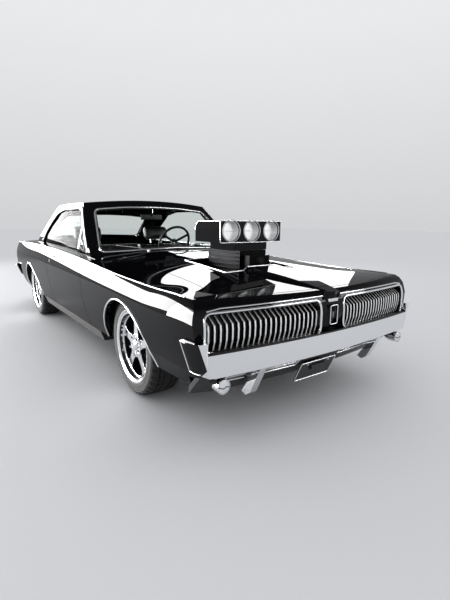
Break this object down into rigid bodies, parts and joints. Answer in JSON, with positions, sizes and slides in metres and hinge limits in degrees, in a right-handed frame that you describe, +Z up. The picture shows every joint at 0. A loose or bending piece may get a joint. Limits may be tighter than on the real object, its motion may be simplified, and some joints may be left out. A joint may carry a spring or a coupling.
{
  "type": "two-door muscle car",
  "caption": "Black two-door hardtop muscle car with a split upright-bar grille, chrome bumpers, a triple-intake scoop through the hood and five-spoke wheels.",
  "frame": {"origin": "on the ground under the middle of the car's bounding box", "axes": "+X to the car's left, +Y rearwards, +Z up"},
  "size_m": [1.81, 4.874, 1.3265],
  "materials": {
    "paint": "gloss",
    "underbody": "satin",
    "chrome": "polished",
    "grille_metal": "polished",
    "lamp": "clear",
    "tail_red": "gloss",
    "plate": "satin",
    "glass": "clear",
    "engine_metal": "satin",
    "polished": "polished",
    "leather": "matte",
    "trim": "matte",
    "steel": "satin",
    "tyre": "matte",
    "wheel_alloy": "polished"
  },
  "bodies": {
    "car_body": {"butterflies": "polished", "cowl": "paint", "dashboard": "trim", "engine": "engine_metal", "exhaust": "steel", "fender_l": "paint", "fender_r": "paint", "floor_pan": "underbody", "front_bumper": "chrome", "front_frame": "underbody", "front_lamps": "lamp", "front_seats": "leather", "front_valance": "underbody", "grille": "grille_metal", "nose_panel": "paint", "number_plate": "plate", "quarter_l": "paint", "quarter_r": "paint", "rear_axle": "steel", "rear_body": "paint", "rear_bumper": "chrome", "rear_glass": "glass", "rear_seat": "leather", "roof": "paint", "scoop": "paint", "tail_lamps": "tail_red", "underframe": "underbody", "windshield": "glass"},
    "hood": {"hood": "paint"},
    "trunk_lid": {"trunk_lid": "paint"},
    "door_left": {"door_l": "paint", "door_glass_l": "glass"},
    "door_right": {"door_r": "paint", "door_glass_r": "glass"},
    "knuckle_left": {"knuckle_l": "steel"},
    "knuckle_right": {"knuckle_r": "steel"},
    "steering_wheel": {"steering_wheel": "trim"},
    "wheel_fl": {"tyre_fl": "tyre", "rim_fl": "wheel_alloy"},
    "wheel_fr": {"tyre_fr": "tyre", "rim_fr": "wheel_alloy"},
    "wheel_rl": {"tyre_rl": "tyre", "rim_rl": "wheel_alloy"},
    "wheel_rr": {"tyre_rr": "tyre", "rim_rr": "wheel_alloy"}
  },
  "joints": [
    {"name": "hood_hinge", "type": "hinge", "parent": "car_body", "child": "hood", "pos_m": [0, -0.737, 0.874], "axis": [-1, 0, 0], "range_deg": [0, 48]},
    {"name": "trunk_hinge", "type": "hinge", "parent": "car_body", "child": "trunk_lid", "pos_m": [0, 1.827, 0.901], "axis": [1, 0, 0], "range_deg": [0, 70]},
    {"name": "door_left_hinge", "type": "hinge", "parent": "car_body", "child": "door_left", "pos_m": [0.898, -0.68, 0.55], "axis": [0, 0, -1], "range_deg": [0, 62]},
    {"name": "door_right_hinge", "type": "hinge", "parent": "car_body", "child": "door_right", "pos_m": [-0.898, -0.68, 0.55], "axis": [0, 0, 1], "range_deg": [0, 62]},
    {"name": "steer_right", "type": "hinge", "parent": "car_body", "child": "knuckle_right", "pos_m": [-0.68, -1.482, 0.325], "axis": [0, 0, 1], "range_deg": [-28, 28]},
    {"name": "steer_left", "type": "hinge", "parent": "car_body", "child": "knuckle_left", "pos_m": [0.68, -1.482, 0.325], "axis": [0, 0, 1], "range_deg": [-28, 28]},
    {"name": "steering_wheel_turn", "type": "hinge", "parent": "car_body", "child": "steering_wheel", "pos_m": [0.35, 0.05, 0.905], "axis": [0, -0.9063, -0.4226], "range_deg": [-450, 450]},
    {"name": "wheel_fl_spin", "type": "hinge", "parent": "knuckle_left", "child": "wheel_fl", "pos_m": [0.722, -1.482, 0.325], "axis": [1, 0, 0], "continuous": true},
    {"name": "wheel_fr_spin", "type": "hinge", "parent": "knuckle_right", "child": "wheel_fr", "pos_m": [-0.722, -1.482, 0.325], "axis": [1, 0, 0], "continuous": true},
    {"name": "wheel_rl_spin", "type": "hinge", "parent": "car_body", "child": "wheel_rl", "pos_m": [0.722, 1.337, 0.325], "axis": [1, 0, 0], "continuous": true},
    {"name": "wheel_rr_spin", "type": "hinge", "parent": "car_body", "child": "wheel_rr", "pos_m": [-0.722, 1.337, 0.325], "axis": [1, 0, 0], "continuous": true}
  ],
  "couplings": [
    {"joint": "steer_left", "follows": "steer_right", "ratio": 1},
    {"joint": "steering_wheel_turn", "follows": "steer_right", "ratio": -16}
  ]
}
